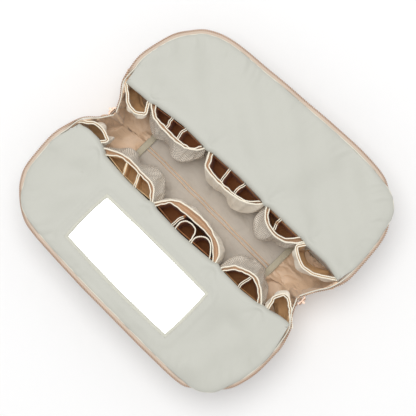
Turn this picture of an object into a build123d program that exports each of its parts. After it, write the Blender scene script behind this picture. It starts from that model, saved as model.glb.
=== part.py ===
from build123d import *
import math
import os

# Soft cosmetic case, laid open on its base. Units are millimetres.
# X runs along the case, Y across it, Z up. The front flap, with the mirror, lies towards -Y.
# The origin is the middle of the base's underside.

# ---- driving dimensions ----
CASE_HALF = 125.0        # half length over the zip coils
FLAP_EDGE = 118.5        # centre plane to a flap's free edge, over the coil
FLAP_CORNER = 50.0       # radius of a flap's free corners
COIL_WIDTH = 1.8         # zip coil, and the strip of tape that shows beside it
TAPE_SHOWN = 2.2
WALL_INNER = 32.0        # centre plane to the wall's lining
CLOTH = 0.8              # cover and lining cloth
FOAM = 2.4
PANEL = 2 * CLOTH + FOAM
HINGE_Y = WALL_INNER + PANEL / 2
HINGE_Z = 48.0
FOLD_GAP = 0.3           # free cloth on each side of the fold, so that the panels clear each other
WALL_HALF = 117.0        # half length of a wall at its top
WALL_CORNER = 42.0       # radius of a wall's lower corners
BASE_HALF = WALL_HALF - WALL_CORNER
BOARD = 1.6              # stiffener board in the base
MESH = 0.8               # pocket cloth
BINDING_WIDE = 1.4       # elastic on a pocket's edge
BINDING_TALL = 2.0
POCKET_TOP = 46.5        # top of the pocket bindings
POCKET_BOTTOM = {"left": 12.0, "middle": 6.0, "right": 6.0}
SLOT_LIFT = 2.0          # slot loops' bottoms over the outer pocket's bottom
LOOP_GAP = 1.2           # between two slot loops where they meet the wall
POUCH_GAP = 2.0          # outer pocket clear of the slot loops inside it

# ---- places worked out from them ----
FLAP_TOP = HINGE_Z + PANEL / 2
FLAP_UNDER = HINGE_Z - PANEL / 2
FLAP_START = HINGE_Y + PANEL / 2 + FOLD_GAP
WALL_TOP = FLAP_UNDER - FOLD_GAP
WALL_OUTER = WALL_INNER + PANEL
FLOOR = 2 * CLOTH + BOARD
CLOTH_TOP = POCKET_TOP - BINDING_TALL
EDGE = COIL_WIDTH + TAPE_SHOWN

# Sides of the case: the sign of Y.
SIDES = {"front": -1, "back": 1}
ENDS = {"left": -1, "right": 1}

# Slot loops of each pocket group, from left to right: (x of the loops' ends, y of the loops' front).
SLOTS = {
    "front": {
        "left": ((-88.0, -71.5, -56.5, -36.0), 19.0),
        "middle": ((-28.0, -6.0, 11.0, 32.0), 18.5),
        "right": ((45.0, 63.0, 81.0), 15.0),
    },
    "back": {
        "left": ((-88.0, -67.0, -53.0, -37.0), 21.0),
        "middle": ((-27.0, -6.0, 9.5, 29.0), 21.0),
        "right": ((37.5, 50.5, 72.0), 24.5),
    },
}
# Outer pocket of each group: (y of its mouth, y of its belly near the base).
POUCHES = {
    "front": {"left": (17.0, 10.0), "middle": (11.0, 10.0), "right": (13.0, 7.0)},
    "back": {"left": (19.0, 10.0), "middle": (19.0, 14.0), "right": (22.5, 14.0)},
}
# End pockets: (x near the middle, x near the end, y of the mouth).
END_POCKETS = {
    "front": {"left": (92.5, 111.0, 18.0), "right": (88.5, 110.0, 9.0)},
    "back": {"left": (92.5, 110.0, 14.5), "right": (78.0, 110.0, 20.0)},
}
LOOP_SLOPE = 0.125       # how far a loop's side leans in, per millimetre from the wall
END_SLOPE = 0.5          # the same, on the side of an end pocket that faces the gusset


# ---- helpers ----
def block(x, y, z):
    """A box between two x, two y and two z values, in any order."""
    size = [abs(v[1] - v[0]) for v in (x, y, z)]
    centre = [(v[0] + v[1]) / 2 for v in (x, y, z)]
    return Pos(*centre) * Box(*size)


def prism(points, low, high):
    """A plan outline, extruded from z low to z high."""
    return Pos(0, 0, low) * extrude(Polygon(*points, align=None), high - low)


def write(name, *solids):
    """One node: one or more separate solids in one STEP file."""
    export_step(Compound(children=list(solids)) if len(solids) > 1 else solids[0], f"parts/{name}.step")


# ---- flaps ----
def flap_outline(inset, start=FLAP_START):
    """Plan face of the front flap, in by inset from the coil's outer edge."""
    half = CASE_HALF - inset
    edge = FLAP_EDGE - inset
    sheet = Pos(0, -(start + edge) / 2) * Rectangle(2 * half, edge - start)
    return fillet(sheet.vertices().group_by(Axis.Y)[0], FLAP_CORNER - inset)


def flap_layer(side, inset, low, high):
    layer = Pos(0, 0, low) * extrude(flap_outline(inset), high - low)
    return layer if SIDES[side] < 0 else mirror(layer, Plane.XZ)


def flap_ring(side, outer, inner, low, high):
    """A band along a flap's three free edges, open at the fold."""
    band = flap_outline(outer) - flap_outline(inner, FLAP_START - EDGE)
    ring = Pos(0, 0, low) * extrude(band, high - low)
    return ring if SIDES[side] < 0 else mirror(ring, Plane.XZ)


SEAM = 2.5               # turned edge of cover, tape and lining, sewn together
MIRROR_X = (-61.0, 51.0)
MIRROR_Y = (-98.0, -51.0)
MIRROR_THICK = 1.0
MIRROR_LAP = 1.5         # lining over the mirror's edge
TRIM = 2.0               # sewn rim round the mirror's window
TRIM_HIGH = 0.4


def grown(span, by):
    return (span[0] - by, span[1] + by)


def flap(side):
    foam_low = FLAP_UNDER + CLOTH
    foam_high = FLAP_TOP - CLOTH
    lining = flap_layer(side, EDGE, foam_high, FLAP_TOP)
    foam = flap_layer(side, EDGE + SEAM, foam_low, foam_high)
    cover = flap_layer(side, EDGE, FLAP_UNDER, foam_low)
    if side == "front":
        mirror_low = foam_high - MIRROR_THICK
        glass = block(grown(MIRROR_X, MIRROR_LAP), grown(MIRROR_Y, MIRROR_LAP), (mirror_low, foam_high))
        window = block(MIRROR_X, MIRROR_Y, (foam_high, FLAP_TOP))
        rim = block(grown(MIRROR_X, TRIM), grown(MIRROR_Y, TRIM), (FLAP_TOP, FLAP_TOP + TRIM_HIGH))
        rim -= block(MIRROR_X, MIRROR_Y, (FLAP_TOP, FLAP_TOP + TRIM_HIGH))
        foam -= glass
        lining -= window
        write("mirror", glass)
        write("mirror_trim", rim)
    tape_half = CLOTH / 2
    tape = flap_ring(side, EDGE, EDGE + SEAM, foam_low, foam_high)
    tape += flap_ring(side, COIL_WIDTH, EDGE, HINGE_Z - tape_half, HINGE_Z + tape_half)
    coil = flap_ring(side, 0, COIL_WIDTH, HINGE_Z - COIL_WIDTH / 2, HINGE_Z + COIL_WIDTH / 2)
    write(f"{side}_flap_lining", lining)
    write(f"{side}_flap_foam", foam)
    write(f"{side}_flap_cover", cover)
    write(f"{side}_zip_tape", tape)
    write(f"{side}_zip_coil", coil)


# ---- walls ----
def wall_layer(side, near, far, inset, low):
    """One layer of a wall, between two distances from the centre plane."""
    half = WALL_HALF - inset
    face = Pos(0, (low + WALL_TOP) / 2) * Rectangle(2 * half, WALL_TOP - low)
    face = fillet(face.vertices().group_by(Axis.Y)[0], WALL_CORNER - inset)
    layer = Pos(0, far, 0) * (Rot(90, 0, 0) * extrude(face, far - near))
    return mirror(layer, Plane.XZ) if SIDES[side] < 0 else layer


def wall(side):
    foam_near = WALL_INNER + CLOTH
    foam_far = WALL_OUTER - CLOTH
    write(f"{side}_wall_lining", wall_layer(side, WALL_INNER, foam_near, 0, CLOTH))
    write(f"{side}_wall_foam", wall_layer(side, foam_near, foam_far, SEAM, CLOTH))
    write(f"{side}_wall_cover", wall_layer(side, foam_far, WALL_OUTER, 0, CLOTH))


# ---- base ----
BINDING_TAPE = 3.5       # tape over the seam between floor and gusset
BINDING_TAPE_HALF = 22.0
RIDGE = 1.0              # each of the two ridges of the centre seam
RIDGE_Y = 1.4
RIDGE_HIGH = 0.6


def base():
    floor_end = BASE_HALF - BINDING_TAPE
    write("base_cover", block((-BASE_HALF, BASE_HALF), (-WALL_OUTER, WALL_OUTER), (0, CLOTH)))
    write("base_board", block((-BASE_HALF, BASE_HALF), (-WALL_INNER, WALL_INNER), (CLOTH, CLOTH + BOARD)))
    write("base_lining", block((-BASE_HALF, BASE_HALF), (-WALL_INNER, WALL_INNER), (CLOTH + BOARD, FLOOR)))
    ridges = [
        block((-floor_end, floor_end), grown((y, y), RIDGE / 2), (FLOOR, FLOOR + RIDGE_HIGH))
        for y in (-RIDGE_Y, RIDGE_Y)
    ]
    write("centre_seam", *ridges)
    for end, x in ENDS.items():
        span = (x * floor_end, x * BASE_HALF)
        half = BINDING_TAPE_HALF
        write(f"{end}_seam_tape", block(span, (-half, half), (FLOOR, FLOOR + RIDGE_HIGH)))


# ---- gussets ----
GUSSET = (0.9, -0.9)     # two layers of cloth: x and z from the inner face to the outer one
GUSSET_STEPS = (0, 25, 50, 75, 90)   # degrees round the wall's lower corner
GUSSET_DRAWN = ((-WALL_INNER, 1.0), (-16.0, 0.86), (0.0, 0.66), (16.0, 0.86), (WALL_INNER, 1.0))
GUSSET_TOP = FLAP_UNDER


def swept_sheet(rows, offset):
    """A solid between a grid of points and the same grid moved by offset."""
    moved = [[Vector(*p) + Vector(*offset) for p in row] for row in rows]
    rows = [[Vector(*p) for p in row] for row in rows]
    faces = []
    for grid in (rows, moved):
        for low, high in zip(grid, grid[1:]):
            for a, b, c, d in zip(low, low[1:], high[1:], high):
                faces += [(a, b, c), (a, c, d)]
    rims = [(rows[0], moved[0]), (rows[-1], moved[-1])]
    rims += [([r[i] for r in rows], [m[i] for m in moved]) for i in (0, -1)]
    for near, far in rims:
        faces += [(a, b, c, d) for a, b, c, d in zip(near, near[1:], far[1:], far)]
    return Solid(Shell([Face(Wire.make_polygon(f)) for f in faces]))


def gusset(end):
    """The cloth that closes an end: round the walls' corners, drawn in on the centre plane."""
    levels = [
        (CLOTH + WALL_CORNER * (1 - math.cos(math.radians(a))), WALL_CORNER * math.sin(math.radians(a)))
        for a in GUSSET_STEPS
    ]
    levels.append((GUSSET_TOP, WALL_CORNER + 1.5))
    rows = [[(BASE_HALF + reach * drawn, y, z) for y, drawn in GUSSET_DRAWN] for z, reach in levels]
    solid = swept_sheet(rows, (GUSSET[0], 0, GUSSET[1]))
    return solid if ENDS[end] > 0 else mirror(solid, Plane.YZ)


# ---- zip ends and sliders, drawn for the right end ----
NOTCH_X = 107.0          # inner face of the closed chain at an end
CHAIN = 1.4
CHAIN_HALF = 2.6
CHAIN_LOW = 29.0
END_TAPE_WIDE = 3.0
SWEEP_CLEAR = 3.6        # clear of a flap's inner edge as it turns
SLIDE_GAP = 0.3
PLATE = 1.1              # slider plates
SLIDER_LOW = 31.0
SLIDER_HIGH = 41.0
BRIDGE_REACH = 2.8       # slider's bridge, and the bar that it is made of
BRIDGE_BAR = 1.0
BRIDGE_LOW = 33.5
BRIDGE_HIGH = 38.5
PULL_BAR = 0.6           # radius of the pull's cross bar
PULL_Z = 36.0
PULL_THICK = 1.2
PULL_ARM = (1.6, 2.6)    # distances of an arm's faces from the centre plane
PULL_TAB_HALF = 3.5
PULL_TAB_TOP = 30.0
PULL_TAB_LOW = 10.0
CHAIN_OUT = NOTCH_X + CHAIN
PLATE_OUT = CHAIN_OUT + SLIDE_GAP + PLATE
PULL_X = PLATE_OUT + (BRIDGE_REACH - BRIDGE_BAR) / 2


def zip_end(end):
    """The two tapes from the flaps down to the closed chain at the notch, as three solids."""
    high = HINGE_Z + CLOTH
    chain = block((NOTCH_X, CHAIN_OUT), (-CHAIN_HALF, CHAIN_HALF), (CHAIN_LOW, FLAP_UNDER))
    near_flap = HINGE_Y - SWEEP_CLEAR
    outer = [(NOTCH_X, 1.0), (118.0, 15.0), (CASE_HALF - 2, near_flap)]
    inner = [(CASE_HALF - 2 - END_TAPE_WIDE, near_flap), (114.0, 16.5), (NOTCH_X, 5.0)]
    tape = prism(outer + inner, FLAP_UNDER, high)
    solids = [chain, tape, mirror(tape, Plane.XZ)]
    return solids if ENDS[end] > 0 else [mirror(s, Plane.YZ) for s in solids]


def slider(end):
    inner_x = NOTCH_X - SLIDE_GAP
    half = CHAIN_HALF + SLIDE_GAP
    body = block((inner_x - PLATE, PLATE_OUT), grown((-half, half), PLATE), (SLIDER_LOW, SLIDER_HIGH))
    body -= block((inner_x, CHAIN_OUT + SLIDE_GAP), (-half, half), (SLIDER_LOW, SLIDER_HIGH))
    bar = BRIDGE_BAR
    reach = PLATE_OUT + BRIDGE_REACH
    width = (-0.8, 0.8)
    body += block((reach - bar, reach), width, (BRIDGE_LOW, BRIDGE_HIGH))
    body += block((PLATE_OUT, reach), width, (BRIDGE_LOW, BRIDGE_LOW + bar))
    body += block((PLATE_OUT, reach), width, (BRIDGE_HIGH - bar, BRIDGE_HIGH))
    return body if ENDS[end] > 0 else mirror(body, Plane.YZ)


def pull(end):
    thick = grown((PULL_X, PULL_X), PULL_THICK / 2)
    near, far = PULL_ARM
    tab = block(thick, (-PULL_TAB_HALF, PULL_TAB_HALF), (PULL_TAB_LOW, PULL_TAB_TOP))
    tab = fillet(tab.edges().filter_by(Axis.X), 2.0)
    for y in (-1, 1):
        tab += block(thick, (y * near, y * far), (PULL_TAB_TOP - 1, PULL_Z))
    tab += Pos(PULL_X, 0, PULL_Z) * Rot(90, 0, 0) * Cylinder(PULL_BAR, 2 * far)
    return tab if ENDS[end] > 0 else mirror(tab, Plane.YZ)


# ---- pockets ----
def pocket_points(x_low, x_high, y, low_slope, high_slope):
    """Plan outline from the wall out to y and back. Its sides lean in by the slopes."""
    reach = WALL_INNER - y
    return [
        (x_low, WALL_INNER),
        (x_low + low_slope * reach, y),
        (x_high - high_slope * reach, y),
        (x_high, WALL_INNER),
    ]


def on_side(side, solid):
    return mirror(solid, Plane.XZ) if SIDES[side] < 0 else solid


def open_band(x_low, x_high, y, wide, low, high, slopes=(LOOP_SLOPE, LOOP_SLOPE)):
    """An upright band along a pocket's plan outline, open towards the wall."""
    outer = prism(pocket_points(x_low, x_high, y, *slopes), low, high)
    inner = prism(pocket_points(x_low + wide, x_high - wide, y + wide, *slopes), low, high)
    return outer - inner


def loop_spans(side, group):
    ends = SLOTS[side][group][0]
    half = LOOP_GAP / 2
    return [(a + half, b - half) for a, b in zip(ends, ends[1:])]


def slot_loops(side, group):
    """The cloth loops that hold brushes: one closed-bottomed loop for each slot."""
    y = SLOTS[side][group][1]
    low = POCKET_BOTTOM[group] + SLOT_LIFT
    loops = []
    for x_low, x_high in loop_spans(side, group):
        loop = open_band(x_low, x_high, y, MESH, low, CLOTH_TOP)
        loop += prism(pocket_points(x_low, x_high, y, LOOP_SLOPE, LOOP_SLOPE), low - MESH, low)
        loops.append(on_side(side, loop))
    return loops


def pouch_span(side, group):
    ends = SLOTS[side][group][0]
    return ends[0] - POUCH_GAP, ends[-1] + POUCH_GAP


def pouch(side, group):
    """The outer pocket over a group's loops: its front leans out towards the base."""
    mouth, belly = POUCHES[side][group]
    x_low, x_high = pouch_span(side, group)

    def hull(inset, low):
        levels = ((low, belly), (CLOTH_TOP, mouth))
        faces = []
        for z, y in levels:
            points = pocket_points(x_low + inset, x_high - inset, y + inset, LOOP_SLOPE, LOOP_SLOPE)
            faces.append(Pos(0, 0, z) * Polygon(*points, align=None))
        return loft(faces, ruled=True)

    low = POCKET_BOTTOM[group]
    return on_side(side, hull(0, low) - hull(MESH, low + MESH))


END_FLOOR_DROP = 70.0    # an end pocket's floor lies on the plane z = x - this


def end_slab(low_x, high_x, lift):
    """Everything above an end pocket's sloping floor, raised by lift, seen from the side."""
    low = [(x, x - END_FLOOR_DROP + lift) for x in (low_x, high_x)]
    face = Polygon(*low, (high_x, CLOTH_TOP), (low_x, CLOTH_TOP), align=None)
    return Pos(0, WALL_INNER, 0) * (Rot(90, 0, 0) * extrude(face, WALL_INNER))


def end_pocket(side, end):
    x_low, x_high, y = END_POCKETS[side][end]
    slopes = (LOOP_SLOPE, END_SLOPE)
    outer = prism(pocket_points(x_low, x_high, y, *slopes), 0, CLOTH_TOP)
    inner = prism(pocket_points(x_low + MESH, x_high - MESH, y + MESH, *slopes), 0, CLOTH_TOP)
    solid = (outer & end_slab(x_low, x_high, 0)) - (inner & end_slab(x_low, x_high, MESH))
    solid = on_side(side, solid)
    return solid if ENDS[end] > 0 else mirror(solid, Plane.YZ)


def binding(x_low, x_high, y, slopes=(LOOP_SLOPE, LOOP_SLOPE)):
    """Elastic that sits on the top edge of a pocket's cloth."""
    spread = (BINDING_WIDE - MESH) / 2
    band = open_band(x_low - spread, x_high + spread, y - spread, BINDING_WIDE, CLOTH_TOP, POCKET_TOP, slopes)
    return band


def group_bindings(side, group):
    y = SLOTS[side][group][1]
    solids = [binding(a, b, y) for a, b in loop_spans(side, group)]
    solids.append(binding(*pouch_span(side, group), POUCHES[side][group][0]))
    return [on_side(side, s) for s in solids]


def end_bindings(side):
    solids = []
    for end, (x_low, x_high, y) in END_POCKETS[side].items():
        solid = on_side(side, binding(x_low, x_high, y, (LOOP_SLOPE, END_SLOPE)))
        solids.append(solid if ENDS[end] > 0 else mirror(solid, Plane.YZ))
    return solids


OUTER_KINDS = {"left": "mesh_pocket", "middle": "cloth_pocket", "right": "mesh_pocket"}


def main():
    os.makedirs("parts", exist_ok=True)
    base()
    for end in ENDS:
        write(f"{end}_gusset", gusset(end))
        write(f"{end}_zip_end", *zip_end(end))
        write(f"{end}_slider", slider(end))
        write(f"{end}_pull", pull(end))
    for side in SIDES:
        wall(side)
        flap(side)
        for group in SLOTS[side]:
            write(f"{side}_{group}_slots", *slot_loops(side, group))
            write(f"{side}_{group}_{OUTER_KINDS[group]}", pouch(side, group))
            write(f"{side}_{group}_bindings", *group_bindings(side, group))
        for end in ENDS:
            write(f"{side}_{end}_end_pocket", end_pocket(side, end))
        write(f"{side}_end_bindings", *end_bindings(side))


main()
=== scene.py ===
import math

import bmesh
import bpy
import numpy as np
from mathutils import Matrix, Vector
from mathutils.bvhtree import BVHTree


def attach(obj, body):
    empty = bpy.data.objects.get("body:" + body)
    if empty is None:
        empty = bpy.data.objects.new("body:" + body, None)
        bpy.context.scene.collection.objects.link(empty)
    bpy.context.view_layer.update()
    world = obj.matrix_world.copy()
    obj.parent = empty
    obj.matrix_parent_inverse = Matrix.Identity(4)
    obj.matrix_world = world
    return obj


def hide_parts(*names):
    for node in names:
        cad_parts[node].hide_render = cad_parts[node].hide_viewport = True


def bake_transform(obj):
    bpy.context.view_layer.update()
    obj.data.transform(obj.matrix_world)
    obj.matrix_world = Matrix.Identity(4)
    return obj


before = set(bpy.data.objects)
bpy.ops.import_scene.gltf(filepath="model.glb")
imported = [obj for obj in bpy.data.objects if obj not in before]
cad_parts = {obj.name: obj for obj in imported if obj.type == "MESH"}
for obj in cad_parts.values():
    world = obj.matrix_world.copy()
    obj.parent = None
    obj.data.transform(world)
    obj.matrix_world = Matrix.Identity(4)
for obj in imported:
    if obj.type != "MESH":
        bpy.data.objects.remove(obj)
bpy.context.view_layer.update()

# Lengths below are millimetres in the CAD frame: X along the case, Y across it, Z up.
MM = 0.001
TAU = 2 * math.pi
SIDE = {"front": -1, "back": 1}
END = {"left": -1, "right": 1}
WAVE_COUNT = 7


# ---- curves and waves
def distances(points):
    """How far along a path each of its points is."""
    return np.concatenate([[0], np.cumsum(np.linalg.norm(np.diff(points, axis=0), axis=1))])


def unit(vectors):
    return vectors / (np.linalg.norm(vectors, axis=1, keepdims=True) + 1e-12)


def resample(points, count, smooth=True):
    """Count points at equal distances along a smooth curve through the given ones."""
    p = np.array(points, float)
    if smooth and len(p) > 2:
        ext = np.vstack([2 * p[0] - p[1], p, 2 * p[-1] - p[-2]])
        t = np.linspace(0, 1, 24, endpoint=False)[:, None]
        parts = []
        for i in range(len(p) - 1):
            a, b, c, d = ext[i : i + 4]
            square, cube = 2 * a - 5 * b + 4 * c - d, 3 * b - a - 3 * c + d
            parts.append(0.5 * (2 * b + (c - a) * t + square * t**2 + cube * t**3))
        p = np.vstack([*parts, p[-1:]])
    along = distances(p)
    at = np.linspace(0, along[-1], count)
    return np.stack([np.interp(at, along, p[:, k]) for k in range(p.shape[1])], axis=1)


def closed_ring(points):
    return resample(np.vstack([points, points[:1]]), 64, smooth=False)[:-1]


def length_of(points):
    return float(distances(points)[-1])


def lumps(x, y, seed, size):
    """Smooth random hills over a plane, between about -1 and 1, with the given size across."""
    rng = np.random.default_rng(seed)
    total = np.zeros(np.broadcast(x, y).shape)
    for _ in range(WAVE_COUNT):
        angle, phase = rng.uniform(0, TAU, 2)
        k = TAU / (size * rng.uniform(0.7, 1.6))
        total += np.sin(k * (x * math.cos(angle) + y * math.sin(angle)) + phase)
    return total / math.sqrt(WAVE_COUNT)


def waves(along, seed, size):
    """Smooth random waves along a line."""
    return lumps(along, 0 * along, seed, size)


def step(value, low, high):
    """0 below low, 1 above high, and smooth between."""
    t = np.clip((value - low) / (high - low), 0, 1)
    return t * t * (3 - 2 * t)


def frames(path):
    """Sideways and upward directions along a path that keeps roughly level."""
    tangent = unit(np.gradient(path, axis=0))
    side = unit(np.cross(tangent, (0.0, 0.0, 1.0)))
    return side, np.cross(side, tangent)


# ---- mesh helpers
def add_object(name, data):
    obj = bpy.data.objects.new(name, data)
    bpy.context.scene.collection.objects.link(obj)
    return obj


def make_object(name, points, faces, cloth, materials):
    """A piece from points in millimetres. cloth gives each point's place on the flat cloth."""
    mesh = bpy.data.meshes.new(name)
    mesh.from_pydata((points * MM).tolist(), [], faces)
    layer = mesh.attributes.new("cloth", "FLOAT_VECTOR", "POINT")
    flat = np.zeros((len(points), 3))
    flat[:, :2] = cloth * MM
    layer.data.foreach_set("vector", flat.ravel())
    for m in materials:
        mesh.materials.append(m)
    mesh.polygons.foreach_set("use_smooth", [True] * len(mesh.polygons))
    mesh.update()
    return add_object(name, mesh)


def grid_faces(rows, cols, wrap=False):
    faces = []
    for i in range(rows - 1):
        for j in range(cols if wrap else cols - 1):
            k = (j + 1) % cols
            faces.append((i * cols + j, i * cols + k, (i + 1) * cols + k, (i + 1) * cols + j))
    return faces


def grid_cloth(grid):
    """Distances along the rows and columns of a grid, as coordinates on the flat cloth."""
    across = np.array([distances(row) for row in grid])
    down = np.array([distances(column) for column in grid.swapaxes(0, 1)]).T
    return np.stack([across - across[:, -1:] / 2, down], axis=2).reshape(-1, 2)


def sheet_object(name, grid, materials, thickness=0.0, wrap=False, offset=-1.0):
    faces = grid_faces(*grid.shape[:2], wrap)
    obj = make_object(name, grid.reshape(-1, 3), faces, grid_cloth(grid), materials)
    if thickness:
        thicken(obj, thickness, offset)
    return obj


def thicken(obj, thickness, offset=0.0, inner_material=0):
    mod = obj.modifiers.new("thickness", "SOLIDIFY")
    mod.thickness = thickness * MM
    mod.offset = offset
    mod.material_offset = mod.material_offset_rim = inner_material
    mod.use_even_offset = False
    bpy.context.view_layer.update()
    graph = bpy.context.evaluated_depsgraph_get()
    shaped = obj.evaluated_get(graph)
    mesh = bpy.data.meshes.new_from_object(shaped, preserve_all_data_layers=True, depsgraph=graph)
    obj.modifiers.clear()
    old = obj.data
    obj.data = mesh
    bpy.data.meshes.remove(old)
    mesh.name = obj.name


def coordinates(obj):
    co = np.empty(len(obj.data.vertices) * 3)
    obj.data.vertices.foreach_get("co", co)
    return co.reshape(-1, 3)


CLOTH_SCALE = 20.0       # the cloth solver is steady on large pieces, so small ones are enlarged for it
CLOTH_FRAMES = 22


def settle(obj, shape, grow, gravity, most, bending=0.15):
    """Cloth simulation on an open sheet of rows by columns: its rim stays, and the cloth inside is larger
    than the gap it spans, so it buckles into folds. No point moves more than most millimetres."""
    rim = np.ones(shape, bool)
    rim[1:-1, 1:-1] = False
    scene = bpy.context.scene
    before = coordinates(obj)
    middle = before.mean(0)
    obj.data.vertices.foreach_set("co", ((before - middle) * CLOTH_SCALE).ravel())
    group = obj.vertex_groups.new(name="pin")
    group.add([int(i) for i in np.flatnonzero(rim)], 1.0, "REPLACE")
    cloth = obj.modifiers.new("cloth", "CLOTH")
    values = dict(quality=6, mass=0.15, tension_stiffness=12, compression_stiffness=12, shear_stiffness=4,
                  bending_stiffness=bending, air_damping=2, vertex_group_mass="pin", shrink_min=-grow)
    for key, value in values.items():
        setattr(cloth.settings, key, value)
    cloth.settings.effector_weights.gravity = gravity
    cloth.point_cache.frame_start, cloth.point_cache.frame_end = 1, CLOTH_FRAMES
    for number in range(1, CLOTH_FRAMES + 1):
        scene.frame_set(number)
    after = coordinates(obj.evaluated_get(bpy.context.evaluated_depsgraph_get()))
    obj.modifiers.remove(cloth)
    obj.vertex_groups.remove(group)
    scene.frame_set(1)
    moved = (after / CLOTH_SCALE + middle) - before
    far = np.linalg.norm(moved, axis=1, keepdims=True)
    moved *= np.minimum(1, most * MM / np.maximum(far, 1e-9))
    obj.data.vertices.foreach_set("co", (before + moved).ravel())
    obj.data.update()


def tube_grid(path, wide, high, swell=1.0, sides=8):
    """Rings round a path. wide and high are half sizes; swell scales each ring."""
    side, up = frames(path)
    a = np.linspace(0, TAU, sides, endpoint=False)[:, None]
    around = side[:, None] * wide * np.cos(a) + up[:, None] * high * np.sin(a)
    return path[:, None] + around * np.reshape(swell, (-1, 1, 1))


def tube_cloth(grid):
    around = np.arange(grid.shape[1]) * np.linalg.norm(grid[0, 1] - grid[0, 0])
    along = distances(grid.mean(1))
    return np.stack(np.meshgrid(along, around, indexing="ij"), axis=2).reshape(-1, 2)


def tubes_object(name, grids, material, solid=True):
    """One object from several tubes, which are capped or else open sheets of cloth."""
    points, faces, cloth = [], [], []
    for grid in grids:
        start = sum(len(p) for p in points)
        rows, cols = grid.shape[:2]
        own = grid_faces(rows, cols, True)
        if solid:
            own += [tuple(range(cols))[::-1], tuple(range((rows - 1) * cols, rows * cols))]
        points.append(grid.reshape(-1, 3))
        cloth.append(tube_cloth(grid) if solid else grid_cloth(grid))
        faces += [tuple(start + v for v in f) for f in own]
    return make_object(name, np.vstack(points), faces, np.vstack(cloth), [material])


def declare(obj, replaced=(), body="base"):
    """Puts a piece on its body and hides the CAD nodes that it stands for."""
    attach(obj, body)
    if replaced:
        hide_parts(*replaced)


# ---- materials
def node(tree, kind, **values):
    n = tree.nodes.new(kind)
    for key, value in values.items():
        if key in n.inputs:
            n.inputs[key].default_value = value
        else:
            setattr(n, key, value)
    return n


def math_node(tree, operation, a, b=None):
    n = tree.nodes.new("ShaderNodeMath")
    n.operation = operation
    for socket, value in zip(n.inputs, (a, b)):
        if isinstance(value, (int, float)):
            socket.default_value = value
        elif value is not None:
            tree.links.new(value, socket)
    return n.outputs[0]


def scaled(tree, value, factor, extra):
    return math_node(tree, "ADD", math_node(tree, "MULTIPLY", value, factor), extra)


def noise(tree, where, **values):
    n = node(tree, "ShaderNodeTexNoise", **values)
    tree.links.new(where, n.inputs["Vector"])
    return n.outputs["Fac"]


def ramp(tree, value, low, high, low_colour, high_colour):
    n = tree.nodes.new("ShaderNodeValToRGB")
    for stop, position, colour in zip(n.color_ramp.elements, (low, high), (low_colour, high_colour)):
        stop.position = position
        stop.color = (*colour, 1)
    tree.links.new(value, n.inputs[0])
    return n.outputs[0]


def mottled(tree, value, low, high, colour, shade):
    """A display colour, 0 to 255, that runs from shade times itself to as much lighter."""
    base = [(c / 255 / 12.92) if c <= 10 else ((c / 255 + 0.055) / 1.055) ** 2.4 for c in colour]
    return ramp(tree, value, low, high, [c * shade for c in base], [min(1, c * (2 - shade)) for c in base])


def cloth_coordinates(tree):
    attribute = node(tree, "ShaderNodeAttribute", attribute_name="cloth")
    split = tree.nodes.new("ShaderNodeSeparateXYZ")
    tree.links.new(attribute.outputs["Vector"], split.inputs[0])
    return attribute.outputs["Vector"], split.outputs[0], split.outputs[1]


def thread(tree, value, pitch):
    """Rounded threads of a weave, 0 to 1, one every pitch millimetres."""
    turn = math_node(tree, "MULTIPLY", value, math.pi / (pitch * MM))
    return math_node(tree, "ABSOLUTE", math_node(tree, "SINE", turn))


def new_material(name, **values):
    """The values go to the shader's inputs of the same names."""
    material = bpy.data.materials.new(name)
    material.use_nodes = True
    inputs = material.node_tree.nodes["Principled BSDF"].inputs
    for key, value in values.items():
        inputs[key.replace("_", " ")].default_value = value
    return material, material.node_tree, inputs


def fabric(name, colour, shade=0.86, pitch=0.35, rough=0.8, sheen=0.25, weave=0.25, creases=0.4,
           crease_size=9.0, depth=1.2):
    """Woven cloth: two sets of threads, soft creases, and a colour that drifts a little."""
    values = dict(Sheen_Weight=sheen, Sheen_Roughness=0.4, Specular_IOR_Level=0.35)
    material, tree, inputs = new_material(name, **values)
    where, across, along = cloth_coordinates(tree)
    drift = noise(tree, where, Scale=38.0, Detail=4.0, Roughness=0.6)
    threads = math_node(tree, "MULTIPLY", thread(tree, across, pitch), thread(tree, along, pitch * 0.8))
    mix = scaled(tree, threads, 0.22, math_node(tree, "MULTIPLY", drift, 0.78))
    tree.links.new(mottled(tree, mix, 0.25, 0.75, colour, shade), inputs["Base Color"])
    tree.links.new(scaled(tree, drift, 0.2, rough - 0.1), inputs["Roughness"])
    crease = noise(tree, where, Scale=1000.0 / crease_size, Detail=3.0, Roughness=0.5, Distortion=0.6)
    soft = node(tree, "ShaderNodeBump", Strength=creases, Distance=depth * MM)
    tree.links.new(crease, soft.inputs["Height"])
    fine = node(tree, "ShaderNodeBump", Strength=weave, Distance=0.12 * MM)
    tree.links.new(threads, fine.inputs["Height"])
    tree.links.new(soft.outputs[0], fine.inputs["Normal"])
    tree.links.new(fine.outputs[0], inputs["Normal"])
    return material


def net(name, colour):
    """Fine net: cloth where two diagonal sets of threads pass, nearly clear between them."""
    material = fabric(name, colour, pitch=0.5, rough=0.55, sheen=0.15, creases=0.2)
    tree = material.node_tree
    _, across, along = cloth_coordinates(tree)
    one, two = (thread(tree, math_node(tree, way, across, along), 2.1) for way in ("ADD", "SUBTRACT"))
    solid = math_node(tree, "LESS_THAN", math_node(tree, "MINIMUM", one, two), 0.5)
    tree.links.new(scaled(tree, solid, 0.6, 0.4), tree.nodes["Principled BSDF"].inputs["Alpha"])
    return material


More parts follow.
